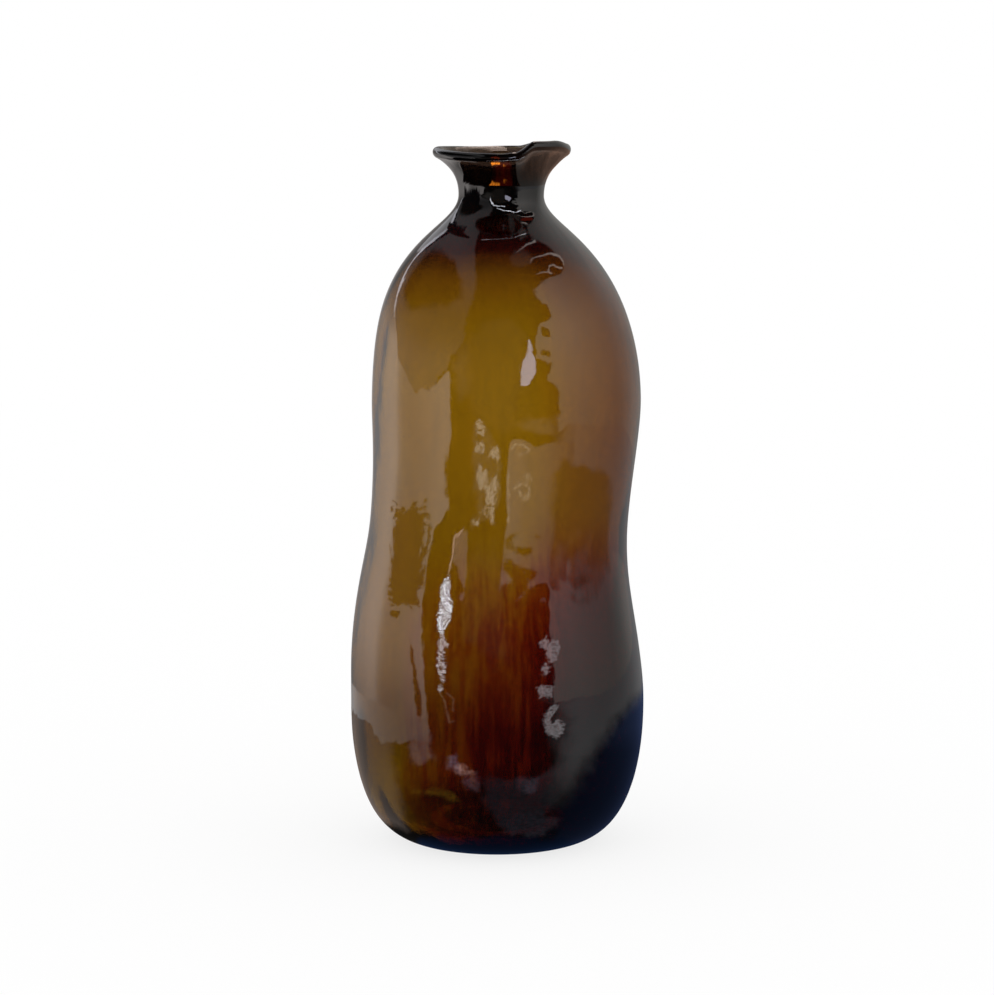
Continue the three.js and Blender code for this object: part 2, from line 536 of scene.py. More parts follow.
# %% Right wall
card(
    "right_wall", RIGHT_DRUM,
    [
        (200, -300), (43, -300), (43, 29), (44, 277), (42, 366), (33, 426), (37, 540), (39, 643),
        (25, 697), (26, 859), (28, 1017), (32, 1109), (37, 1224), (44, 1230), (50, 1291),
        (52, 1473), (48, 1607), (44, 1784), (48, 2002), (61, 2235), (73, 2208), (86, 1998),
        (99, 1887), (107, 1892), (113, 2056), (115, 2386), (111, 3115), (111, 3813), (98, 5207),
        (200, 5207),
    ],
    lit(
        (1.0, 0.97, 0.93),
        [
            (29, 0.95), (45, 1.05), (65, 1.0), (85, 0.75), (105, 0.55), (135, 0.62), (155, 0.52),
            (180, 0.45),
        ],
        [(0, 0.4), (200, 0.42), (550, 0.5), (960, 0.6), (1500, 0.55), (3000, 0.4), (5000, 0.3)],
    ),
    RAGGED, fray=4.0,
)
WALL_HOLES = {
    "upper": [(35, 668), (42, 647), (41, 605), (34, 610)],
    "lower": [(29, 535), (38, 521), (37, 493), (29, 500)],
}
for place, outline in WALL_HOLES.items():
    card("wall_hole_" + place, shifted(LEFT_DRUM, -4.0), outline, (0.03, 0.03, 0.03))

# %% Table on the right
card(
    "right_floor", TABLE,
    [
        (47, 2400), (49, 720), (47, 399), (43, 274), (38, 232), (38, 150), (50, 190), (66, 290),
        (82, 400), (100, 530), (124, 640), (200, 640), (200, 2400),
    ],
    lit(
        (0.97, 0.97, 1.0),
        [(45, 0.36), (65, 0.32), (85, 0.25), (110, 0.2), (140, 0.2), (180, 0.12)],
        [(140, 0.35), (240, 0.8), (330, 1.0)],
    ),
    MISTY, lift=2.0, soft=14.0,
)
card(
    "blue_floor", TABLE,
    [
        (24, 60), (32, 95), (35, 121), (43, 162), (57, 238), (78, 371), (97, 498), (124, 690),
        (200, 690), (200, 60),
    ],
    lit(
        (0.02, 0.03, 0.07),
        [(140, 1.0), (180, 0.5)],
        [(150, 0.75), (300, 0.9), (420, 1.5), (700, 2.0)],
    ),
    MISTY, lift=1.0, soft=12.0, fray=16.0,
)
card(
    "foot_shadow", TABLE,
    [(-60, 62), (-50, 80), (-30, 88), (0, 92), (20, 90), (36, 82), (60, 72), (60, 56), (-60, 56)],
    (0.008, 0.018, 0.05), MISTY, lift=1.2, soft=5.0,
)
card(
    "front_floor", TABLE,
    [(-6, 234), (16, 232), (29, 245), (45, 274), (46, 190), (30, 130), (4, 100), (-8, 160)],
    (0.06, 0.06, 0.075), RAGGED, lift=1.5, soft=4.0, sparkle=1.0,
)

# %% [markdown]
# ### Things close to the glass
# A black flag with its post, a creased pale sheet, a drip of pale light and a dim patch stand
# so close that each is mirrored at the waist alone. Further off they would come back wherever
# the wall faces the same way. The hazes, the small high window and the bright threads do stand
# further off, on the left drum, and show higher up.

# %% Near cards
card(
    "black_flag", NEAR_DRUM,
    [
        (-91, 236), (-87, 239), (-77, 238), (-67, 240), (-58, 238), (-55, 233), (-55, 227),
        (-53, 226), (-54, 224), (-50, 220), (-53, 213), (-52, 202), (-60, 198), (-71, 195),
        (-77, 192), (-84, 202), (-85, 213), (-88, 222), (-86, 230),
    ],
    (0.06, 0.055, 0.06), fray=14.0, drawn=0.5,
)
POST = [
    (-51, 227), (-46, 230), (-41, 236), (-37, 240), (-34, 231), (-34, 225), (-34, 222),
    (-37, 220), (-38, 215), (-37, 209), (-38, 200), (-37, 172), (-37, 143), (-36, 114), (-34, 91),
    (-35, 71), (-43, 69), (-45, 100), (-46, 157), (-49, 207), (-50, 220), (-51, 226),
]
card("black_post", shifted(NEAR_DRUM, -0.5), POST, (0.01, 0.01, 0.01))
card(
    "black_flag_tip", NEAR_DRUM,
    [(-79, 186), (-68, 191), (-70, 181), (-77, 181)],
    (0.05, 0.045, 0.05),
)
card(
    "black_sliver", NEAR_DRUM,
    [(-57, 166), (-54, 155), (-50, 119), (-48, 97), (-48, 80), (-49, 74), (-52, 92), (-54, 123)],
    (0.03, 0.03, 0.03),
)
card(
    "pale_sheet", NEAR_DRUM,
    [
        (4, 267), (7, 271), (11, 271), (18, 268), (22, 263), (33, 264), (41, 264), (50, 264),
        (52, 200), (42, 204), (37, 206), (34, 205.5), (30, 206.5), (26, 208), (20, 209.4),
        (15, 210.4), (12, 211.4), (8, 213.2), (3, 213.6), (4, 217), (5, 225), (3, 233), (3, 248),
    ],
    lit((0.44, 0.41, 0.42), [(2, 1.25), (12, 1.1), (18, 0.84), (28, 0.8), (40, 0.62), (50, 0.5)]),
    fray=0.5, grain=0.3, sparkle=0.3,
)

# %% Creases and pale smear
SHEET_CREASES = {
    "curl": (1.6, [(9, 239), (12, 241), (16, 241), (20, 237), (20, 233), (16, 233), (12, 236)]),
    "bubble": (1.8, [(6, 262), (9, 265), (14, 266), (17, 262), (16, 258), (11, 257)]),
    "edge": (1.2, [(4, 246), (5, 232), (5, 222)]),
}
for shape, (width, line) in SHEET_CREASES.items():
    card(
        "sheet_crease_" + shape, shifted(NEAR_DRUM, -2.0), line,
        (1.15, 1.05, 0.88), width=width, soft=1.0, fray=2.5, grain=0.3, sparkle=1.2,
    )
card(
    "pale_smear", NEAR_DRUM,
    [(12, 291), (17, 305), (27, 299), (35, 281), (36, 274), (28, 274), (19, 281)],
    (0.2, 0.19, 0.17), MISTY, soft=4.0, sparkle=0.6,
)

# %% Drip with its lights
card(
    "pale_drip", NEAR_DRUM,
    [
        (-21, 286), (-18, 300), (-13, 287), (-9, 271), (-4, 263), (-2, 253), (-2, 238), (-3, 232),
        (-5, 228), (-3, 223), (-8, 227), (-13, 229), (-18, 224), (-19, 228), (-14, 232),
        (-17, 241), (-20, 249), (-22, 261),
    ],
    (0.2, 0.19, 0.16), full=1.5, soft=2.0, fray=6.0, sparkle=0.8,
)
DRIP_LIGHTS = {
    "top": [(-20, 293), (-17, 300), (-14, 284), (-15, 275), (-19, 275)],
    "left": [(-20, 269), (-15, 268), (-15, 261), (-19, 261)],
    "right": [(-11, 264), (-5, 264), (-3, 255), (-4, 250), (-9, 256)],
    "middle": [(-19, 256), (-14, 254), (-10, 245), (-12, 242), (-17, 247)],
    "broad": [(-12, 245), (-4, 245), (-3, 236), (-6, 233), (-12, 239)],
    "tail": [(-12, 236), (-6, 234), (-4, 228), (-4, 223), (-8, 228), (-12, 231)],
    "toe": [(-19, 228), (-14, 229), (-11, 227), (-16, 226)],
}
for place, outline in DRIP_LIGHTS.items():
    card(
        "drip_light_" + place, shifted(NEAR_DRUM, -2.0), outline,
        (1.5, 1.4, 1.15), full=0.7, soft=0.9, fray=5.0, grain=0.3, sparkle=1.6,
    )

# %% Dim patch and hazes
card(
    "dim_patch", shifted(NEAR_DRUM, -4.0),
    [
        (37, 240), (45, 246), (60, 243), (76, 238), (88, 231), (96, 210), (94, 193), (76, 193.5),
        (58, 199), (45, 204), (39, 207), (36, 224),
    ],
    (0.12, 0.1, 0.06), soft=4.5, fray=9.0, grain=0.1,
)
card(
    "pale_haze", LEFT_DRUM,
    [
        (-24, 613), (-3, 707), (15, 639), (15, 390), (11, 200), (-4, 178), (-20, 221), (-28, 306),
        (-32, 493),
    ],
    (0.055, 0.05, 0.045), MISTY, fray=16.0,
)
HAZES = {
    "high": (0.09, [(23, 2639), (60, 3026), (82, 1841), (71, 1520), (46, 1573), (24, 1869)]),
    "middle": (
        0.06,
        [
            (-16, 679), (-2, 724), (11, 696), (16, 606), (9, 548), (-3, 560), (-12, 537),
            (-22, 556),
        ],
    ),
    "left": (
        0.13,
        [(-45, 402), (-38, 475), (-30, 519), (-23, 478), (-21, 395), (-28, 331), (-38, 301)],
    ),
}
for place, (level, outline) in HAZES.items():
    card(
        "haze_" + place, shifted(LEFT_DRUM, 2.0), outline,
        (level, 0.95 * level, 0.9 * level), MISTY, soft=5.0, sparkle=1.0,
    )

# %% High window and threads
card(
    "high_window", shifted(LEFT_DRUM, -4.0),
    [
        (20, 598), (21, 563), (21, 511), (23, 464), (22, 414), (19, 398), (16, 374), (11, 374),
        (12, 413), (13, 473), (17, 521), (19, 575),
    ],
    (2.1, 2.1, 2.65),
)
BRIGHT_THREADS = {
    "straight": [(62, 2457), (76, 2272), (90, 1969), (106, 1543)],
    "loop": [
        (65, 1527), (73, 1581), (80, 1526), (87, 1427), (96, 1309), (104, 1177), (109, 1039),
        (106, 999), (102, 986),
    ],
    "hook": [(73, 1171), (81, 1208), (87, 1154), (89, 1086), (95, 1004)],
    "tail": [(60, 1212), (66, 1207), (73, 1171), (73, 1125), (75, 1103)],
}
for shape, line in BRIGHT_THREADS.items():
    card(
        "bright_thread_" + shape, shifted(LEFT_DRUM, -6.0), line,
        (1.1, 1.0, 0.95), width=3.0, soft=0.8, sparkle=1.0,
    )

# %% [markdown]
# ### Round the neck
# The flared lip faces down and would mirror the lit table. A dark collar lies under it, with a
# brown and a grey one round the right side, and mirrored rays only meet them from above. A
# small lamp frame in front of the throat makes the thin white curls there, between a dark flag
# and a red one. Two amber glints in a red glow stand for the light that gathers in the thick
# glass of the neck, and two tall lights far behind the vase brighten the inside of its mouth.

# %% Neck cards
COLLAR = (0.0, 30.0)
NECK_DRUM = (52.0, 1.2)
COLLAR_HEIGHT = 478.5
card(
    "dark_collar", COLLAR,
    [(-66, 31.5), (-40, 30.5), (-25, 29.5), (30, 29.5), (30, 100), (-66, 100)],
    (0.004, 0.003, 0.004), lift=COLLAR_HEIGHT, soft=1.0, fray=4.0,
)
card(
    "brown_collar", COLLAR,
    [(24, 32.5), (200, 32.5), (200, 180), (24, 180)],
    lit((1.0, 0.62, 0.46), [(25, 0.04), (45, 0.16), (80, 0.26), (160, 0.3)]),
    MISTY, lift=COLLAR_HEIGHT - 0.5, soft=3.0, fray=3.0, sparkle=0.8,
)
card(
    "grey_collar", COLLAR,
    [(24, 28.4), (200, 28.4), (200, 41), (24, 41)],
    (0.17, 0.16, 0.15), lift=COLLAR_HEIGHT - 0.3, soft=7.0, fray=4.0, grain=0.1,
)
card(
    "round_flag", NECK_DRUM,
    [
        (-92, 468), (-68, 467), (-46, 467), (-36, 468), (-41, 479), (-57, 485), (-79, 480),
        (-99, 471),
    ],
    (0.012, 0.012, 0.014),
)
card(
    "red_flag", shifted(NECK_DRUM, -11.0),
    [(28, 461), (31, 466), (42, 466), (48, 463), (43, 458), (32, 459)],
    (0.3, 0.03, 0.015),
)

# %% Lights round the neck
LAMP_FRAME = {
    "post": (1.8, [(-19, 470), (-15, 476)]),
    "sill": (0.9, [(-14, 479), (-2, 480), (11, 480)]),
    "shelf": (1.3, [(-5, 484), (10, 490), (30, 491), (42, 484)]),
}
for part, (width, line) in LAMP_FRAME.items():
    card(
        "lamp_" + part, NECK_DRUM, line,
        (5.5, 5.6, 6.2), width=width, soft=0.6, grain=0.3, sparkle=1.0,
    )
AMBER_GLINTS = {
    "left": [(-11, 31), (-4, 28.5), (2, 30), (5, 33), (3, 34.8), (-4, 34.5), (-8, 35)],
    "right": [(8, 35.2), (12, 35), (13, 35.9), (9, 36)],
}
for place, outline in AMBER_GLINTS.items():
    card(
        "amber_glint_" + place, COLLAR, outline,
        (4.0, 1.1, 0.08), lift=COLLAR_HEIGHT + 0.6, soft=0.6, grain=0.13, sparkle=2.2,
    )
card(
    "red_glow", COLLAR,
    [(-12, 28.6), (10, 28.6), (20, 32), (19, 37), (0, 38), (-8, 35)],
    (0.2, 0.009, 0.005), MISTY, lift=COLLAR_HEIGHT + 0.3, soft=2.5, fray=4.0, grain=0.14,
)
for side in (-1, 1):
    card(
        "back_light_" + ("left" if side < 0 else "right"), shifted(RIGHT_DRUM, -10.0),
        [(165 * side, 1500), (200 * side, 1500), (200 * side, 4600), (165 * side, 4600)],
        (2.6, 2.1, 1.85), MISTY, soft=12.0,
    )

# %% [markdown]
# ### Bright slits
# Low down, gaps between curtains are mirrored as ragged white streaks: a dim shape with a
# bright core, and flecks that glare. Each streak is a pair of cards with one outline. The
# nearer one glares, and its depth is capped, so that the noise breaks it into flecks. More
# flecks stand at the right, and pale patches lie on the table in front.

# %% Slits
card(
    "slit_tip", shifted(NEAR_DRUM, -1.0),
    [
        (-25, 224), (-29, 224), (-31, 224), (-32, 222), (-32, 221), (-27, 220), (-25, 218),
        (-21, 213), (-20, 221), (-21, 222), (-22, 223),
    ],
    (0.46, 0.38, 0.42), soft=0.3, fray=0.6, grain=0.3, sparkle=0.8,
)
SLIT_EDGES = {
    "tip": (1.1, (2.2, 1.6, 1.4), [(-25, 225), (-29, 224), (-31, 224), (-32, 222), (-33, 220)]),
    "left": (1.2, (0.5, 0.36, 0.26), [(-34, 115), (-32, 107), (-31, 93), (-29, 80), (-25, 81)]),
    "right": (1.2, (0.4, 0.3, 0.24), [(-30, 116), (-26, 106), (-26, 94)]),
}
for place, (width, tint, line) in SLIT_EDGES.items():
    card(
        "slit_edge_" + place, shifted(NEAR_DRUM, -1.5), line,
        tint, width=width, soft=0.4, fray=1.0, grain=0.3, sparkle=1.0,
    )

# %% Streaks and their glare
SLIT_HIGH = [
    (-33, 218), (-36, 217), (-37, 213), (-36, 208), (-37, 203), (-36.5, 190), (-35, 179),
    (-32, 180), (-32, 187), (-31.5, 199), (-31, 206), (-31, 212), (-31, 215),
]
SLIT_LOW = [
    (-34, 181), (-35.5, 167), (-35.5, 145), (-34, 131), (-34, 118), (-33, 111), (-32, 119),
    (-31, 135), (-31, 148), (-31.5, 169), (-32, 181),
]
SLIT_CARDS = {
    "high": (-2.0, SLIT_HIGH, (1.4, 1.6, 1.9), 0.8, 0.5),
    "high_glare": (-3.0, SLIT_HIGH, (6.0, 6.8, 7.8), 0.0, 0.5),
    "low": (-2.0, SLIT_LOW, (0.7, 0.7, 0.78), 0.4, 1.4),
    "low_glare": (-3.0, SLIT_LOW, (3.2, 3.3, 3.7), -0.1, 1.4),
}
for place, (outward, outline, tint, full, drawn) in SLIT_CARDS.items():
    card(
        "slit_" + place, shifted(NEAR_DRUM, outward), outline,
        tint, full=full, fray=3.0, grain=0.3, drawn=drawn, sparkle=1.6,
    )

# %% Flecks at the right
RIGHT_PATCHES = {
    "upper": [
        (27, 178), (32, 180), (35, 176), (40, 176), (40, 167), (38, 157), (33, 153), (32, 163),
        (28, 169),
    ],
    "drop": [(31, 154), (34, 149), (31, 140), (29, 147)],
    "middle": [(26, 127), (30, 130), (34, 126), (33, 117), (29, 115)],
    "lower": [
        (32, 105), (29, 96), (28, 83), (30, 68), (36, 61), (40, 67), (41, 80), (38, 84), (35, 76),
        (33, 88), (37, 96), (39, 102), (35, 106),
    ],
}
for place, outline in RIGHT_PATCHES.items():
    card(
        "right_slit_" + place, NEAR_DRUM, outline,
        (1.25, 1.22, 1.28), full=0.6, soft=0.7, fray=4.0, grain=0.42, drawn=1.0, sparkle=2.0,
    )

# %% Patches on the table
LOW_PATCHES = {
    "left": (
        (0.34, 0.3, 0.32),
        [(-65, 367), (-59, 418), (-49, 438), (-47, 350), (-44, 293), (-50, 265), (-58, 275)],
    ),
    "blue": (
        (0.6, 0.6, 0.85),
        [(-33, 316), (-29, 312), (-25, 281), (-26, 249), (-29, 256), (-33, 279)],
    ),
    "spark": (
        (2.2, 1.3, 1.1),
        [(-28, 248), (-26, 271), (-22, 273), (-16, 255), (-17, 238), (-23, 241)],
    ),
    "middle": (
        (0.24, 0.2, 0.26),
        [(-23, 250), (-14, 247), (-11, 210), (-13, 184), (-19, 183), (-22, 215)],
    ),
    "right": ((0.2, 0.19, 0.25), [(16, 223), (23, 228), (26, 200), (23, 176), (16, 178)]),
    "low": (
        (0.075, 0.075, 0.1),
        [(2, 112), (12, 130), (24, 128), (36, 112), (30, 97), (24, 90), (7, 97)],
    ),
    "streak": (
        (0.4, 0.26, 0.03),
        [(-54, 164), (-43, 177), (-30, 172), (-24, 151), (-30, 160), (-44, 168)],
    ),
}
for place, (tint, outline) in LOW_PATCHES.items():
    card(
        "low_patch_" + place, TABLE, outline,
        tint, full=3.0, lift=3.0, soft=4.0, fray=8.0, grain=0.16, drawn=1.6, sparkle=1.2,
    )

# %% [markdown]
# ## The wall of glass
# The real wall is one skin that runs from the middle of the punt, under the foot, up the
# outside, over the lip, down the inside and across the floor. It is made here the same way, as
# rings along one section. The outline is a chain of Bezier curves between four stations where
# the wall stands upright, with the same numbers as the CAD source. Glass needs one closed mesh
# with a single material, or the light would lose track of where it is inside.

# %% Sizes of the outline
FOOT_OUTER_RADIUS = 51 * MM
FOOT_INNER_RADIUS = 38 * MM
FOOT_GLASS = 12 * MM
PUNT_RISE = 6 * MM
BASE_THICKNESS = 15 * MM
PONTIL_RADIUS = 18 * MM
PONTIL_DEPTH = 2.4 * MM
BELLY = (106.4 * MM, 103.6 * MM)
BELLY_WALL = 5 * MM
WAIST = (93.4 * MM, 239 * MM)
WAIST_WALL = 4.2 * MM
CHEST = (96.8 * MM, 321.4 * MM)
CHEST_WALL = 4 * MM
THROAT = (30.6 * MM, 470 * MM)
THROAT_WALL = 5.5 * MM
LIP = (47.4 * MM, 496.6 * MM)
LIP_THICKNESS = 6.4 * MM
LIP_FLARE = math.radians(23)
HEEL_REACH = 35.5 * MM
BELLY_REACH_DOWN = 69.5 * MM
BELLY_REACH_UP = 59.5 * MM
WAIST_REACH_DOWN = 46 * MM
WAIST_REACH_UP = 37 * MM
CHEST_REACH_DOWN = 17 * MM
CHEST_REACH_UP = 118 * MM
THROAT_REACH_DOWN = 26.5 * MM
THROAT_REACH_UP = 17 * MM
LIP_REACH = 6 * MM
print("belly and throat, mm across:", [round(2 * r / MM, 1) for r, _ in (BELLY, THROAT)])


# %% A stretch of the wall, outside and inside
def shares(count):
    """Count equal steps along a stretch, without its start."""
    return np.arange(1, count + 1) / count


def bezier(points, share):
    """Where a Bezier curve is after each share of its way, and which way it heads there."""
    share = np.asarray(share, float)[:, None]
    start, leave, arrive, end = (np.array(p, float) for p in points)
    rest = 1 - share
    place = (
        rest**3 * start
        + 3 * rest**2 * share * leave
        + 3 * rest * share**2 * arrive
        + share**3 * end
    )
    heading = (
        rest**2 * (leave - start)
        + 2 * rest * share * (arrive - leave)
        + share**2 * (end - arrive)
    )
    return place, heading / np.linalg.norm(heading, axis=1, keepdims=True)


def outer_face(stretch, share):
    """Points on the outside and the directions that face away from the glass."""
    place, heading = bezier(stretch["points"], share)
    return place, np.stack([heading[:, 1], -heading[:, 0]], axis=1)


def inner_face(stretch, share):
    """Points on the inside, one wall's thickness in and square to the outside."""
    place, away = outer_face(stretch, share)
    start, end = stretch["walls"]
    wall = start + (end - start) * np.asarray(share)
    return place - away * wall[:, None], -away


def above(station, reach):
    """The point this far above a station of the outline, or below it if negative."""
    return (station[0], station[1] + reach)


# %% Stretches of the wall
FOOT = (FOOT_OUTER_RADIUS, 0.0)
LIP_HANDLE = (LIP[0] - LIP_REACH * math.cos(LIP_FLARE), LIP[1] - LIP_REACH * math.sin(LIP_FLARE))
HEEL = {
    "points": (FOOT, (FOOT[0] + HEEL_REACH, 0.0), above(BELLY, -BELLY_REACH_DOWN), BELLY),
    "walls": (FOOT_GLASS, BELLY_WALL),
}
LOWER_BODY = {
    "points": (BELLY, above(BELLY, BELLY_REACH_UP), above(WAIST, -WAIST_REACH_DOWN), WAIST),
    "walls": (BELLY_WALL, WAIST_WALL),
}
UPPER_BODY = {
    "points": (WAIST, above(WAIST, WAIST_REACH_UP), above(CHEST, -CHEST_REACH_DOWN), CHEST),
    "walls": (WAIST_WALL, CHEST_WALL),
}
SHOULDER = {
    "points": (CHEST, above(CHEST, CHEST_REACH_UP), above(THROAT, -THROAT_REACH_DOWN), THROAT),
    "walls": (CHEST_WALL, THROAT_WALL),
}
MOUTH = {
    "points": (THROAT, above(THROAT, THROAT_REACH_UP), LIP_HANDLE, LIP),
    "walls": (THROAT_WALL, LIP_THICKNESS),
}
print("belly to lip, mm:", round((LIP[1] - BELLY[1]) / MM, 1))

# %% [markdown]
# ### The section, ring by ring
# Each ring keeps its radius, height, the direction that faces away from the glass, whether it
# is on the outside, and how much ripple it takes. The punt and the foot stand on a flat iron
# while they are soft, so they take none, and a fire-polished lip is smooth.

# %% Under the foot
PUNT_STEPS = 14
FOOT_STEPS = 4


def punt_height(radius):
    """How high the underside of the punt is at a radius."""
    return PUNT_RISE * (1 - (radius / FOOT_INNER_RADIUS) ** 2)


def under_the_foot():
    """The hollow punt and the flat ring that the vase stands on, from the middle out."""
    hollow = FOOT_INNER_RADIUS * shares(PUNT_STEPS)
    ring = FOOT_INNER_RADIUS + (FOOT_OUTER_RADIUS - FOOT_INNER_RADIUS) * shares(FOOT_STEPS)
    radius = np.concatenate([hollow, ring])
    height = np.concatenate([punt_height(hollow), np.zeros(FOOT_STEPS)])
    return np.stack([radius, height], 1), np.tile([0.0, -1.0], (len(radius), 1))


print("points under the foot:", len(under_the_foot()[0]))

# %% Over the lip
LIP_STEPS = 18


def over_the_lip():
    """A half round from the outer face of the lip to the inner one."""
    (outer,), (away,) = outer_face(MOUTH, [1.0])
    (inner,), _ = inner_face(MOUTH, [1.0])
    middle = (outer + inner) / 2
    across = (outer - inner) / 2
    along = np.array([-away[1], away[0]]) * np.linalg.norm(across)
    turn = np.pi * shares(LIP_STEPS)[:, None]
    place = middle + across * np.cos(turn) + along * np.sin(turn)
    return place, (place - middle) / np.linalg.norm(across)


print("points over the lip:", len(over_the_lip()[0]))

# %% The whole section
STEPS_OUTSIDE = ((HEEL, 70), (LOWER_BODY, 60), (UPPER_BODY, 45), (SHOULDER, 78), (MOUTH, 26))
STEPS_INSIDE = ((MOUTH, 18), (SHOULDER, 40), (UPPER_BODY, 22), (LOWER_BODY, 30), (HEEL, 30))
FLOOR_STEPS = 12
FLOOR_TOP = PUNT_RISE + BASE_THICKNESS
INSIDE_FLOOR = (
    (FOOT_OUTER_RADIUS, FOOT_GLASS),
    (FOOT_OUTER_RADIUS / 2, FOOT_GLASS),
    (FOOT_OUTER_RADIUS / 2, FLOOR_TOP),
    (0.0, FLOOR_TOP),
)
OUT, IN = 1.0, 0.0
FULL_RIPPLE = 1.0
INNER_RIPPLE = 0.6
SMOOTH_RIPPLE = 0.2
NO_RIPPLE = 0.0


def section():
    """The whole section from the middle of the punt to the middle of the floor inside."""
    runs = [(*under_the_foot(), OUT, NO_RIPPLE)]
    for stretch, steps in STEPS_OUTSIDE:
        runs.append((*outer_face(stretch, shares(steps)), OUT, FULL_RIPPLE))
    runs.append((*over_the_lip(), OUT, SMOOTH_RIPPLE))
    for stretch, steps in STEPS_INSIDE:
        runs.append((*inner_face(stretch, 1 - shares(steps)), IN, INNER_RIPPLE))
    place, heading = bezier(INSIDE_FLOOR, shares(FLOOR_STEPS)[:-1])
    away = np.stack([-heading[:, 1], heading[:, 0]], 1) * [1, -1]
    runs.append((place, away, IN, SMOOTH_RIPPLE))
    place = np.concatenate([run[0] for run in runs])
    away = np.concatenate([run[1] for run in runs])
    outside = np.concatenate([np.full(len(run[0]), run[2]) for run in runs])
    ripple = np.concatenate([np.full(len(run[0]), run[3]) for run in runs])
    return place, away, outside, ripple


SECTION, AWAY, OUTSIDE, RIPPLE = section()
print("section:", len(SECTION), "rings,", int(OUTSIDE.sum()), "of them outside")

# %% [markdown]
# ### Ripples
# Blown glass is never true. Broad ripples bend a mirrored window edge, and fine ones break it
# into ragged bits. A ripple here is a sum of smooth waves that close up round the vase, each
# with a random heading and phase from a fixed seed, so that the vase is the same every time.
# The waves are longer up the wall than round it, as a gather that was drawn out has them.

# %% Ripple maker
MEAN_RADIUS = 95 * MM
STRETCH = 1.6
PATCH_FADE = 14


def waves(turn, height, seed, count, shortest, longest):
    """A sum of waves about one unit high. Lengths are in metres round the vase."""
    pick = np.random.default_rng(seed)
    total = np.zeros_like(turn)
    for _ in range(count):
        length = shortest * (longest / shortest) ** pick.random()
        heading = pick.uniform(-math.pi, math.pi)
        around = round(2 * math.pi * MEAN_RADIUS / length * math.cos(heading))
        upward = 2 * math.pi / length * math.sin(heading) / STRETCH
        total += np.cos(around * turn + upward * height + pick.uniform(0, 2 * math.pi))
    return total / math.sqrt(count / 2)


def step(value, low, high):
    """0 below low, 1 above high, eased between."""
    share = np.clip((value - low) / (high - low), 0, 1)
    return share * share * (3 - 2 * share)


def patch(turn, height, middle, half_width, low, high, soft):
    """1 inside a patch of wall, given in degrees and metres, and 0 well outside it."""
    off = np.degrees(np.angle(np.exp(1j * (turn - math.radians(middle)))))
    sideways = 1 - step(np.abs(off), half_width, half_width + PATCH_FADE)
    return sideways * step(height, low - soft, low) * (1 - step(height, high, high + soft))


# %% Ripples of both faces
BROAD = {"seed": 3, "count": 26, "shortest": 34 * MM, "longest": 70 * MM}
NARROW = {"seed": 5, "count": 34, "shortest": 11 * MM, "longest": 20 * MM}
FINEST = {"seed": 8, "count": 40, "shortest": 6.5 * MM, "longest": 11 * MM}
BROAD_INSIDE = {"seed": 12, "count": 26, "shortest": 30 * MM, "longest": 70 * MM}
NARROW_INSIDE = {"seed": 14, "count": 30, "shortest": 12 * MM, "longest": 24 * MM}


def ripple_outside(turn, height):
    """How far the outer face stands proud, in metres. Fine ripples are strongest in front."""
    ragged = patch(turn, height, -88, 28, 55 * MM, 190 * MM, 25 * MM)
    right_hand = patch(turn, height, -66, 10, 200 * MM, 400 * MM, 30 * MM)
    fine = 0.25 + 0.9 * ragged + 0.55 * right_hand
    return MM * (
        0.10 * waves(turn, height, **BROAD)
        + 0.035 * fine * waves(turn, height, **NARROW)
        + 0.020 * fine * waves(turn, height, **FINEST)
    )


def ripple_inside(turn, height):
    """How far the inner face stands proud, in metres."""
    broad = 0.28 * waves(turn, height, **BROAD_INSIDE)
    return MM * (broad + 0.05 * waves(turn, height, **NARROW_INSIDE))


# %% [markdown]
# ### Off true
# The soft vase leaned to one side at the waist and to the other at the chest, and the lip was
# pulled up along one side. These are the same three tables as in the CAD source. A turn of 0
# faces +X and one of -90 faces the camera.

# %% Lean and lift
LEAN = [
    (0, 0),
    (BELLY[1], 0.2 * MM),
    ((BELLY[1] + WAIST[1]) / 2, -2.2 * MM),
    (CHEST[1], 6.8 * MM),
    (THROAT[1] - THROAT_REACH_DOWN, 2.6 * MM),
    (LIP[1], 3.4 * MM),
]
LIP_LIFT = [
    (-180, 1.4 * MM),
    (-90, 0),
    (-78, 0.8 * MM),
    (-60, 8.2 * MM),
    (-38, 7.8 * MM),
    (0, 3.6 * MM),
    (55, 2.8 * MM),
    (76, -0.6 * MM),
    (105, -1 * MM),
    (180, 1.4 * MM),
]
LIFT_ROOT = [(-180, 490 * MM), (-90, 490 * MM), (-62, 472 * MM), (-35, 476 * MM), (-5, 490 * MM)]


def eased(table, value):
    """Eases from level to level as a value passes the places in a table."""
    level = np.full_like(value, table[0][1])
    for (start, _), (place, following) in zip(table, table[1:]):
        level = level + (following - level) * step(value, start, place)
    return level


def settle(x, y, z):
    """Moves turned points to where the soft glass went."""
    turn = np.degrees(np.arctan2(y, x))
    share = step(z, eased(LIFT_ROOT, turn), LIP[1] + LIP_THICKNESS)
    return x + eased(LEAN, z), y, z + eased(LIP_LIFT, turn) * share


# %% Rings with their ripples
SIDES = 200
NO_BUMP_UNDER = 2 * MM
FULL_BUMP_OVER = 30 * MM


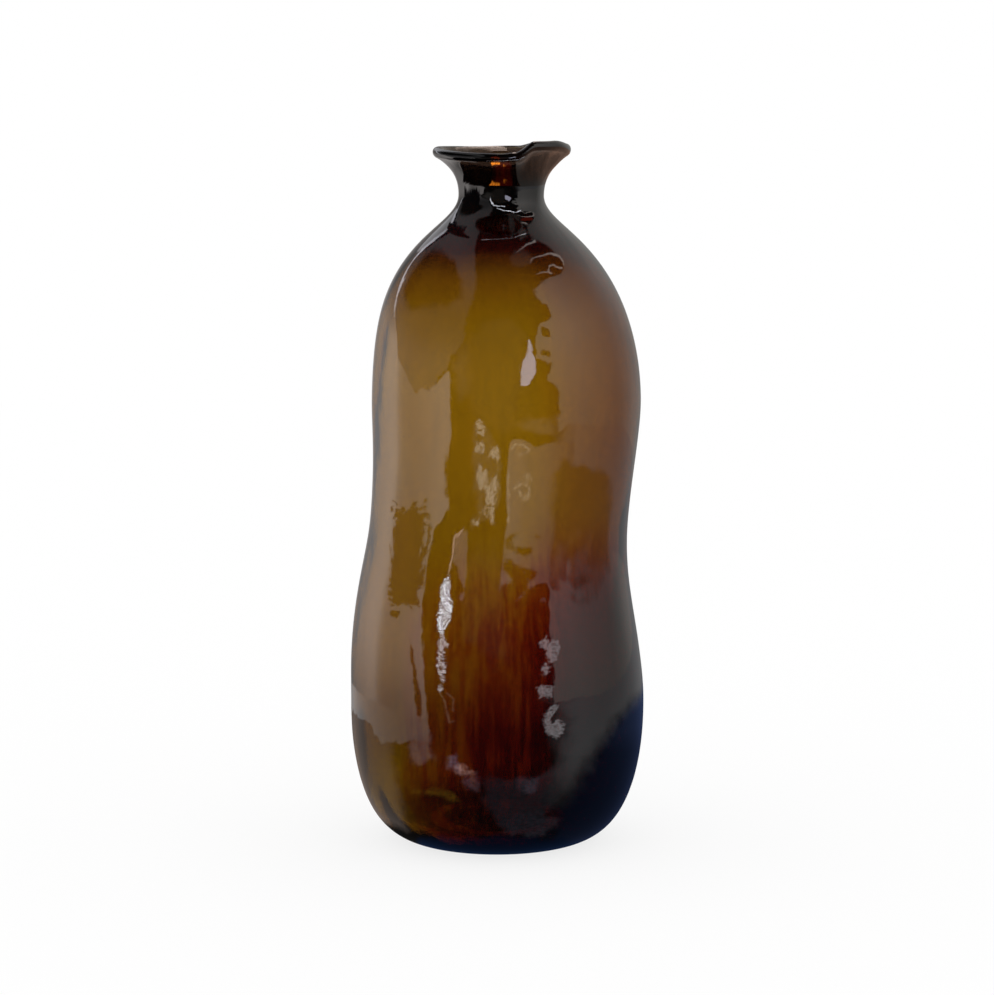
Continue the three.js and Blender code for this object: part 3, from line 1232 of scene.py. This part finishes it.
def ring_points():
    """Every ring's points, as three grids of rings by sides. The foot itself stays flat."""
    turn = np.tile(2 * math.pi * np.arange(SIDES) / SIDES, (len(SECTION), 1))
    height = np.tile(SECTION[:, 1:], (1, SIDES))
    over_foot = step(height, NO_BUMP_UNDER, FULL_BUMP_OVER)
    outer, inner = ripple_outside(turn, height), ripple_inside(turn, height)
    bump = np.where(OUTSIDE[:, None] == OUT, outer, inner) * RIPPLE[:, None] * over_foot
    radius = SECTION[:, :1] + AWAY[:, :1] * bump
    z = height + AWAY[:, 1:] * bump
    return settle(radius * np.cos(turn), radius * np.sin(turn), z)


# %% The glass mesh
def skin_mesh(name, x, y, z, first_middle, last_middle):
    """A closed skin over rings, with a point in the middle at either end."""
    rings, sides = x.shape
    points = np.stack([x, y, z], -1).reshape(-1, 3)
    points = np.concatenate([[first_middle], points, [last_middle]])
    ring = 1 + sides * np.arange(rings - 1)[:, None]
    side = np.arange(sides)[None, :]
    following = (side + 1) % sides
    quads = np.stack(
        [ring + side, ring + following, ring + sides + following, ring + sides + side], -1
    ).reshape(-1, 4)
    last = 1 + sides * (rings - 1)
    fans = [(0, 1 + (i + 1) % sides, 1 + i) for i in range(sides)]
    fans += [(last + i, last + (i + 1) % sides, len(points) - 1) for i in range(sides)]
    mesh = bpy.data.meshes.new(name)
    mesh.from_pydata(points.tolist(), [], quads.tolist() + fans)
    mesh.polygons.foreach_set("use_smooth", np.ones(len(mesh.polygons), bool))
    mesh.update()
    return mesh


def middle_of(ring, x, y, height):
    """The middle of a ring, moved to a height."""
    return (float(x[ring].mean()), float(y[ring].mean()), height)


x, y, z = ring_points()
glass_mesh = skin_mesh(
    "glass_wall", x, y, z, middle_of(0, x, y, PUNT_RISE), middle_of(-1, x, y, FLOOR_TOP)
)
side_flag = np.concatenate([[1.0], np.repeat(OUTSIDE, SIDES), [0.0]])
glass_mesh.attributes.new("outside", "FLOAT", "POINT").data.foreach_set("value", side_flag)
glass_wall = made_object("glass_wall", glass_mesh)
print("glass wall:", len(glass_mesh.vertices), "points,", len(glass_mesh.polygons), "faces")

# %% [markdown]
# ## The colour of the glass
# Light reaches the eye after passing the near wall and the far wall. What can be judged is the
# share of white light that both walls let through at a height, so the stops below are given as
# that, and the ramp works back to the tint of one surface. A part of the colour is real
# absorption inside the glass, which darkens the thick base and lip by itself. The rest is a tint
# on the outer face. The inner face stays almost clear, because a second tint would count twice,
# and only the floor inside is tinted deeply.

# %% Colour stops
WALLS_THICK = 9.2 * MM
CLEAR_SHARE = 0.88
LEAST_TINT = 0.0001
ABSORB_COLOUR = (0.80, 0.665, 0.03)
ABSORB_DENSITY = 155.0
TOP_OF_RAMP = 0.52


def linear(*channels):
    """A colour given as it looks on a screen, from 0 to 255, as amounts of light."""
    seen = (c / 255 for c in channels)
    return tuple(c / 12.92 if c <= 0.04045 else ((c + 0.055) / 1.055) ** 2.4 for c in seen)


def surface_tint(seen):
    """The tint of the outer face that leaves this share of white light behind two walls."""
    kept = (math.exp(-ABSORB_DENSITY * (1 - c) * WALLS_THICK) for c in ABSORB_COLOUR)
    return tuple(min(1.0, max(LEAST_TINT, s / (CLEAR_SHARE * k))) for s, k in zip(seen, kept))


# These stops give the glass its amber and are partly painted shade as well: they darken the body
# low down and hold the neck and the foot almost black.
LET_THROUGH = [
    (0.000, (0.010, 0.003, 0.0005)),
    (0.012, (0.15, 0.075, 0.0005)),
    (0.030, (0.17, 0.115, 0.001)),
    (0.055, (0.092, 0.051, 0.001)),
    (0.090, (0.076, 0.030, 0.001)),
    (0.110, (0.106, 0.046, 0.001)),
    (0.135, (0.150, 0.067, 0.001)),
    (0.180, (0.162, 0.074, 0.001)),
    (0.235, (0.160, 0.076, 0.001)),
    (0.300, (0.184, 0.087, 0.0015)),
    (0.340, (0.192, 0.094, 0.0015)),
    (0.385, (0.165, 0.078, 0.001)),
    (0.405, (0.123, 0.050, 0.001)),
    (0.414, (0.105, 0.040, 0.001)),
    (0.421, (0.075, 0.026, 0.001)),
    (0.425, (0.047, 0.015, 0.001)),
    (0.429, (0.034, 0.008, 0.001)),
    (0.432, (0.032, 0.006, 0.001)),
    (0.435, (0.010, 0.0002, 0.0001)),
    (0.440, (0.0070, 0.0001, 0.0001)),
    (0.450, (0.003, 0.0001, 0.0001)),
    (0.460, (0.0004, 0.0001, 0.0001)),
    (0.488, (0.0004, 0.0001, 0.0001)),
    (0.500, (0.0015, 0.0005, 0.0003)),
]
RAMP_STOPS = [(height / TOP_OF_RAMP, surface_tint(seen)) for height, seen in LET_THROUGH]
for (height, _), (_, tint) in zip(LET_THROUGH, RAMP_STOPS):
    print("tint at", height, "m:", [round(c, 3) for c in tint])

# %% [markdown]
# ### Painted shade in the glass
# From the front round to the right the outer tint is darkened by painted shade, most of all low
# down, where it turns red and then black, and a milder painted shade dims the whole right side.
# More of the same shade multiplies the light again and again, so its depth goes in as a power.
# The depth is a sum of eased steps round the vase, times a sum of steps down it, with streaks
# and finer cords that are noise drawn out up the wall.

# %% Painted shade
# Painted shade: these colours and steps darken the glass from the front round to the right, most of
# all low down, and dim the whole right side.
DEEP_SHADE = (0.22, 0.009, 0.13)
SIDE_SHADE = (0.25, 0.08, 0.1)
SHADE_ROUND = [
    (-45, -27, 0.18), (-27, -12, 0.12), (-12, -5, 0.2), (-5, 10, 0.15), (10, 38, 0.35),
    (38, 60, 0.3), (90, 130, -0.5), (130, 175, -0.8),
]
SHADE_DOWN = [(0.235, 0.150, 0.65), (0.135, 0.075, 0.9)]
SIDE_SHADE_ROUND = [(12, 40, 0.14), (40, 65, 0.1), (110, 170, -0.24)]
print("stain in front:", round(sum(rise for _, end, rise in SHADE_ROUND if end <= 0), 2))

# %% Clouds, streaks and cords
STREAKED = (1.0, 1.0, 0.16)
CORDED = (1.0, 1.0, 0.07)
CLOUD_SCALE = 16.0
STREAK_SCALE = 170.0
CORD_SCALE = 240.0
CLOUD_SHIFT_UP = 0.012
STREAK_SHIFT_UP = 0.04
CLOUD_SHIFT_ROUND = 16.0
STREAK_SHIFT_ROUND = 14.0
CORDS_END = (18.0, 34.0)
FLOOR_TINT = (0.08, 0.03, 0.008)
CLEAR_TINT = (0.96, 0.96, 0.96)


def steps_of(value, steps):
    """A sum of eased steps, each from one place to another and with its own rise."""
    total = 0.0
    for start, end, rise in steps:
        if start > end:
            total = (1.0 - value.between(end, start)) * rise + total
        else:
            total = value.between(start, end) * rise + total
    return total


def through_shade(wire, painted_shade, depth):
    """What a painted shade of this depth lets through."""
    shares = {name: share**depth for name, share in zip(("Red", "Green", "Blue"), painted_shade)}
    return wire.node("ShaderNodeCombineColor", {}, shares)


# %% Tints of both faces
def outer_tint(wire, place):
    """The tint of the outer face: the ramp by height, uneven, and darkened by painted shade."""
    parts = wire.tree.nodes.new("ShaderNodeSeparateXYZ")
    wire.tree.links.new(place.socket, parts.inputs[0])
    x, y, height = (Wire(wire.tree, parts.outputs[i]) for i in range(3))
    turn = wire.node("ShaderNodeMath", {"operation": "ARCTAN2"}, {0: x, 1: y * -1.0})
    turn = turn * math.degrees(1.0)
    cloud = place.noise(CLOUD_SCALE, 3.0)
    streaks = (place * STREAKED).noise(STREAK_SCALE, 4.0, 0.6)
    cords = (place * CORDED).noise(CORD_SCALE, 3.0, 0.6).between(0.36, 0.64)
    cords = (cords - 0.5) * (1.0 - turn.between(*CORDS_END))
    uneven = height + (cloud - 0.5) * CLOUD_SHIFT_UP
    even = wire.node("ShaderNodeValToRGB", {"stops": RAMP_STOPS}, {0: uneven * (1.0 / TOP_OF_RAMP)})
    shaded = even * (0.84 + 0.32 * cloud) * (0.78 + 0.44 * streaks)
    fray = (cloud - 0.5) * CLOUD_SHIFT_ROUND + (streaks - 0.5) * STREAK_SHIFT_ROUND
    # Painted shade: the tint deepens round to the right and low down, and the right side is dimmed.
    low = steps_of(height + (streaks - 0.5) * STREAK_SHIFT_UP, SHADE_DOWN)
    deep = steps_of(turn + fray, SHADE_ROUND) * low * (1.0 + 0.8 * cords)
    side = 2.0 * steps_of(turn, SIDE_SHADE_ROUND)
    return shaded * through_shade(wire, DEEP_SHADE, 2.0 * deep) * through_shade(wire, SIDE_SHADE, side)


def inner_tint(wire, place):
    """The tint of the inner face: clear walls over a deep floor."""
    height = wire.node("ShaderNodeSeparateXYZ", {}, {0: place}, 2)
    return height.between(0.012, 0.032).mixed(FLOOR_TINT, CLEAR_TINT)


# %% The glass
GLASS_IOR = 1.5
GLASS_ROUGHNESS = 0.015
COAT_IOR = 1.6
COAT_ROUGHNESS = 0.01
SKIN_SCALE = 420.0
SKIN_BUMP = 0.0006
glass_material, wire = new_material("amber_glass")
place = wire.node("ShaderNodeTexCoord", output=3)
outside = wire.node("ShaderNodeAttribute", {"attribute_name": "outside"}, output=2)
fine = (place * (1.0, 1.0, 0.45)).noise(SKIN_SCALE, 2.0)
bump = wire.node("ShaderNodeBump", {}, {"Strength": 0.08, "Distance": SKIN_BUMP, "Height": fine})
glass = wire.node(
    "ShaderNodeBsdfPrincipled",
    {},
    {
        "Base Color": outside.mixed(inner_tint(wire, place), outer_tint(wire, place)),
        "Roughness": GLASS_ROUGHNESS,
        "IOR": GLASS_IOR,
        "Transmission Weight": 1.0,
        "Coat Weight": outside,
        "Coat Roughness": COAT_ROUGHNESS,
        "Coat IOR": COAT_IOR,
        "Normal": bump,
    },
)
absorbed = wire.node(
    "ShaderNodeVolumeAbsorption", {}, {"Color": (*ABSORB_COLOUR, 1.0), "Density": ABSORB_DENSITY}
)
finish_surface(wire, glass, absorbed)
glass_mesh.materials.append(glass_material)
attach(glass_wall, "root")
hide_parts("thick_base", "waisted_body", "shoulder", "flared_mouth")
print("glass material:", len(glass_material.node_tree.nodes), "nodes")

# %% [markdown]
# ## The pontil mark
# The iron that held the vase while its mouth was opened leaves a scab of glass under the base.
# It was ground flat, so its face is matt and grey, and its edge is chipped. It is a separate
# low disc with a ragged rim, a hair clear of the punt so that the two glasses don't share a
# face.

# %% Pontil mark
PONTIL_CLEARANCE = 0.05 * MM
PONTIL_FACE = PUNT_RISE - PONTIL_DEPTH
PONTIL_RINGS = np.array([0.3, 0.6, 0.85, 0.97, 1.0, 0.985, 0.8, 0.5, 0.25])
RING_CHIPS = np.array([0, 0, 0.3, 1.0, 1.0, 1.0, 0, 0, 0])
RINGS_ON_FACE = 4
CHIPS = {"seed": 21, "count": 30, "shortest": 8 * MM, "longest": 40 * MM}
CHIPS_ROUND = 5
CHIPPED_IN = 0.97


def pontil_points():
    """Rings of the pontil mark, from the middle of its ground face to the middle of its top."""
    radii = PONTIL_RINGS * PONTIL_RADIUS
    top = punt_height(radii) - PONTIL_CLEARANCE
    heights = np.where(np.arange(len(radii)) < RINGS_ON_FACE, PONTIL_FACE, top)
    heights[RINGS_ON_FACE] = (PONTIL_FACE + top[RINGS_ON_FACE]) / 2
    turn = np.tile(2 * math.pi * np.arange(SIDES) / SIDES, (len(radii), 1))
    chips = 0.5 * waves(turn * CHIPS_ROUND, turn * 0, **CHIPS) * RING_CHIPS[:, None]
    radius = radii[:, None] * CHIPPED_IN + np.clip(chips, -1.0, 0.5) * MM
    return radius * np.cos(turn), radius * np.sin(turn), np.tile(heights[:, None], (1, SIDES))


x, y, z = pontil_points()
face_middle, top_middle = (0.0, 0.0, PONTIL_FACE), (0.0, 0.0, PUNT_RISE - PONTIL_CLEARANCE)
pontil_mesh = skin_mesh("pontil_scab", x, y, z, face_middle, top_middle)
pontil_scab = made_object("pontil_scab", pontil_mesh)
print("pontil mark:", len(pontil_mesh.polygons), "faces")

# %% Ground glass
GROUND_SCALE = 900.0
SCRATCH_SCALE = 1400.0
GROUND_BUMP = 0.0002
pontil_material, wire = new_material("ground_glass")
place = wire.node("ShaderNodeTexCoord", output=3)
grain = place.noise(GROUND_SCALE, 3.0)
scratches = (place * (1.0, 0.08, 1.0)).noise(SCRATCH_SCALE, 2.0)
grinding = wire.node(
    "ShaderNodeBump", {}, {"Strength": 0.5, "Distance": GROUND_BUMP, "Height": grain + scratches}
)
ground = wire.node(
    "ShaderNodeBsdfPrincipled",
    {},
    {
        "Base Color": grain.between(0.3, 0.7).mixed(linear(120, 84, 50), linear(150, 112, 74)),
        "Roughness": 0.45 + 0.25 * grain,
        "IOR": GLASS_IOR,
        "Transmission Weight": 0.7,
        "Normal": grinding,
    },
)
finish_surface(wire, ground)
pontil_mesh.materials.append(pontil_material)
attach(pontil_scab, "root")
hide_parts("pontil_mark")
print("pontil material:", len(pontil_material.node_tree.nodes), "nodes")
